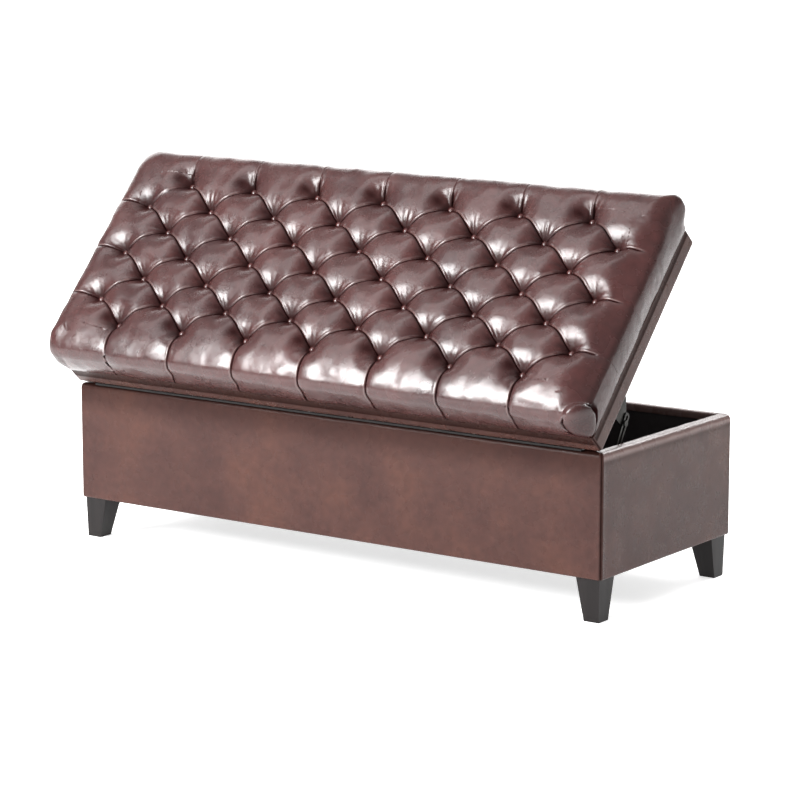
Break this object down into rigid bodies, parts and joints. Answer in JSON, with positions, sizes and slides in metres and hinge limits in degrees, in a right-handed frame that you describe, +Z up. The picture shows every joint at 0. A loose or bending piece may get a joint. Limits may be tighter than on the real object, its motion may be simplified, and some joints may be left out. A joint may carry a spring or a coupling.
{
  "type": "storage bench",
  "caption": "Upholstered storage bench: oblong leather box on short tapered legs, with a deep-buttoned lid hinged along one long side and held open by slotted stays.",
  "frame": {"origin": "on the floor, below the middle of the whole bench's box as it stands with the lid half open", "axes": "+X along the hinge, to the right seen from the hinge side; +Y from the hinge side to the opening side; +Z up"},
  "size_m": [1.294, 0.5877, 0.7785],
  "materials": {
    "tufted_leather": "gloss",
    "button_leather": "gloss",
    "wall_leather": "satin",
    "black_lining": "matte",
    "dust_cloth": "matte",
    "wadding": "matte",
    "foam": "matte",
    "black_wood": "satin",
    "plywood": "matte",
    "frame_wood": "matte",
    "twine": "matte",
    "dark_steel": "satin",
    "black_steel": "satin",
    "zinc_steel": "satin"
  },
  "bodies": {
    "box": {"hinge_side_cover": "wall_leather", "opening_side_cover": "wall_leather", "left_end_cover": "wall_leather", "right_end_cover": "wall_leather", "box_wadding": "wadding", "hinge_side_board": "frame_wood", "opening_side_board": "frame_wood", "left_end_board": "frame_wood", "right_end_board": "frame_wood", "frame_screws": "zinc_steel", "bottom_board": "plywood", "wall_lining": "black_lining", "floor_lining": "black_lining", "bottom_cleats": "frame_wood", "dust_cover": "dust_cloth", "dust_cover_staples": "zinc_steel", "base_hinge_screws": "zinc_steel", "stay_plate_screws": "dark_steel", "hinge_side_left_leg": "black_wood", "hinge_side_right_leg": "black_wood", "opening_side_right_leg": "black_wood", "opening_side_left_leg": "black_wood", "leg_hanger_bolts": "zinc_steel", "leg_t_nuts": "zinc_steel", "corner_blocks": "frame_wood", "base_hinge_leaf": "black_steel", "hinge_pin": "black_steel", "right_stay_plate": "dark_steel", "left_stay_plate": "dark_steel", "right_stay_pivot": "dark_steel", "left_stay_pivot": "dark_steel"},
    "lid": {"lid_hinge_band": "wall_leather", "lid_opening_band": "wall_leather", "lid_left_band": "wall_leather", "lid_right_band": "wall_leather", "lid_band_wadding": "wadding", "lid_hinge_rail": "frame_wood", "lid_opening_rail": "frame_wood", "lid_left_rail": "frame_wood", "lid_right_rail": "frame_wood", "lid_lining": "black_lining", "tufted_cover": "tufted_leather", "seat_foam": "foam", "tuft_buttons": "button_leather", "tufting_twine": "twine", "lid_board": "plywood", "lid_hinge_screws": "zinc_steel", "lid_bracket_screws": "dark_steel", "lid_hinge_leaf": "black_steel", "right_lid_bracket": "dark_steel", "left_lid_bracket": "dark_steel", "right_stay_stud": "dark_steel", "left_stay_stud": "dark_steel"},
    "left_stay_arm": {"left_stay_arm": "dark_steel"},
    "right_stay_arm": {"right_stay_arm": "dark_steel"}
  },
  "joints": [
    {"name": "lid_hinge", "type": "hinge", "parent": "box", "child": "lid", "pos_m": [0, -0.1873, 0.3267], "axis": [1, 0, 0], "range_deg": [-47.5, 7.5]},
    {"name": "left_stay_turn", "type": "hinge", "parent": "box", "child": "left_stay_arm", "pos_m": [-0.6045, -0.1534, 0.20016], "axis": [1, 0, 0], "range_deg": [-23.75, 3.75]},
    {"name": "right_stay_turn", "type": "hinge", "parent": "box", "child": "right_stay_arm", "pos_m": [0.6045, -0.1534, 0.20016], "axis": [1, 0, 0], "range_deg": [-23.75, 3.75]}
  ],
  "couplings": [
    {"joint": "left_stay_turn", "follows": "lid_hinge", "ratio": 0.5},
    {"joint": "right_stay_turn", "follows": "lid_hinge", "ratio": 0.5}
  ]
}
